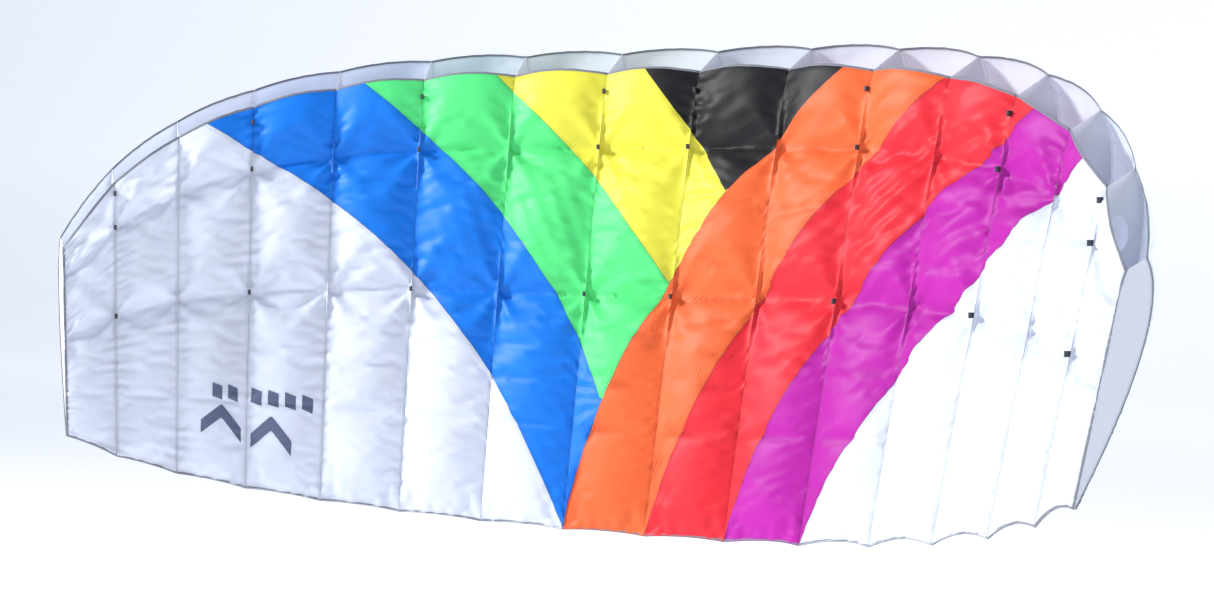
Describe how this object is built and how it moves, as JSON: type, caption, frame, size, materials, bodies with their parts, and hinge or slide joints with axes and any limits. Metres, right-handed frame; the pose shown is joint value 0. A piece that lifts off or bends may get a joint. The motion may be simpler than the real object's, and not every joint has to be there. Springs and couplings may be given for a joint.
{
  "type": "parafoil kite",
  "caption": "Soft ram-air sport kite: an arched wing of inflated fabric cells between shaped ribs, open intake mouths at the nose, curved coloured stripes and sewn bridle loops underneath.",
  "frame": {"origin": "middle of the kite's bounding box in its arched flying shape", "axes": "+X to the kite's right as the flyer sees its underside, +Y away from the flyer through the top skin, +Z from the trailing edge to the leading edge"},
  "size_m": [2.1507, 0.7521, 0.9774],
  "materials": {
    "white_ripstop": "coated ripstop, low sheen",
    "blue_ripstop": "coated ripstop, low sheen",
    "green_ripstop": "coated ripstop, low sheen",
    "yellow_ripstop": "coated ripstop, low sheen",
    "black_ripstop": "coated ripstop, low sheen",
    "orange_ripstop": "coated ripstop, low sheen",
    "red_ripstop": "coated ripstop, low sheen",
    "magenta_ripstop": "coated ripstop, low sheen",
    "rib_cloth": "uncoated ripstop",
    "edge_tape": "woven tape",
    "loop_ribbon": "woven ribbon",
    "sewing_thread": "twisted thread",
    "graphic_print": "screen print ink on the cloth"
  },
  "bodies": {
    "left_tip": {"bottom_left_white_left_tip": "white_ripstop", "bridle_loops_left_tip": "loop_ribbon", "intake_hems_left_tip": "edge_tape", "rib_00": "rib_cloth", "rib_01": "rib_cloth", "tip_binding_left": "edge_tape", "top_skin_left_tip": "white_ripstop", "trailing_hem_left_tip": "edge_tape"},
    "left_panel": {"bottom_blue_left_panel": "blue_ripstop", "bottom_green_left_panel": "green_ripstop", "bottom_left_white_left_panel": "white_ripstop", "bridle_loops_left_panel": "loop_ribbon", "intake_hems_left_panel": "edge_tape", "rib_02": "rib_cloth", "rib_03": "rib_cloth", "rib_04": "rib_cloth", "top_skin_left_panel": "white_ripstop", "trailing_hem_left_panel": "edge_tape"},
    "centre": {"bottom_black_centre": "black_ripstop", "bottom_blue_centre": "blue_ripstop", "bottom_green_centre": "green_ripstop", "bottom_left_white_centre": "white_ripstop", "bottom_magenta_centre": "magenta_ripstop", "bottom_orange_centre": "orange_ripstop", "bottom_red_centre": "red_ripstop", "bottom_yellow_centre": "yellow_ripstop", "bridle_loops_centre": "loop_ribbon", "intake_hems_centre": "edge_tape", "rib_05": "rib_cloth", "rib_06": "rib_cloth", "rib_07": "rib_cloth", "rib_08": "rib_cloth", "rib_09": "rib_cloth", "rib_10": "rib_cloth", "top_skin_centre": "white_ripstop", "trailing_hem_centre": "edge_tape"},
    "right_panel": {"bottom_magenta_right_panel": "magenta_ripstop", "bottom_orange_right_panel": "orange_ripstop", "bottom_red_right_panel": "red_ripstop", "bottom_right_white_right_panel": "white_ripstop", "bridle_loops_right_panel": "loop_ribbon", "intake_hems_right_panel": "edge_tape", "rib_11": "rib_cloth", "rib_12": "rib_cloth", "rib_13": "rib_cloth", "top_skin_right_panel": "white_ripstop", "trailing_hem_right_panel": "edge_tape"},
    "right_tip": {"bottom_magenta_right_tip": "magenta_ripstop", "bottom_right_white_right_tip": "white_ripstop", "bridle_loops_right_tip": "loop_ribbon", "intake_hems_right_tip": "edge_tape", "rib_14": "rib_cloth", "rib_15": "rib_cloth", "tip_binding_right": "edge_tape", "top_skin_right_tip": "white_ripstop", "trailing_hem_right_tip": "edge_tape"}
  },
  "joints": [
    {"name": "left_panel_spread", "type": "hinge", "parent": "centre", "child": "left_panel", "pos_m": [-0.52827, 0.26433, -0.00624], "axis": [0, 0, -1], "range_deg": [0, 29.5], "stiffness_Nm_per_rad": 1},
    {"name": "left_tip_spread", "type": "hinge", "parent": "left_panel", "child": "left_tip", "pos_m": [-1.00645, -0.0071, -0.00624], "axis": [0, 0, -1], "range_deg": [0, 14.7], "stiffness_Nm_per_rad": 0.4},
    {"name": "right_panel_spread", "type": "hinge", "parent": "centre", "child": "right_panel", "pos_m": [0.52825, 0.26433, -0.00624], "axis": [0, 0, 1], "range_deg": [0, 29.5], "stiffness_Nm_per_rad": 1},
    {"name": "right_tip_spread", "type": "hinge", "parent": "right_panel", "child": "right_tip", "pos_m": [1.00643, -0.0071, -0.00624], "axis": [0, 0, 1], "range_deg": [0, 14.7], "stiffness_Nm_per_rad": 0.4}
  ]
}
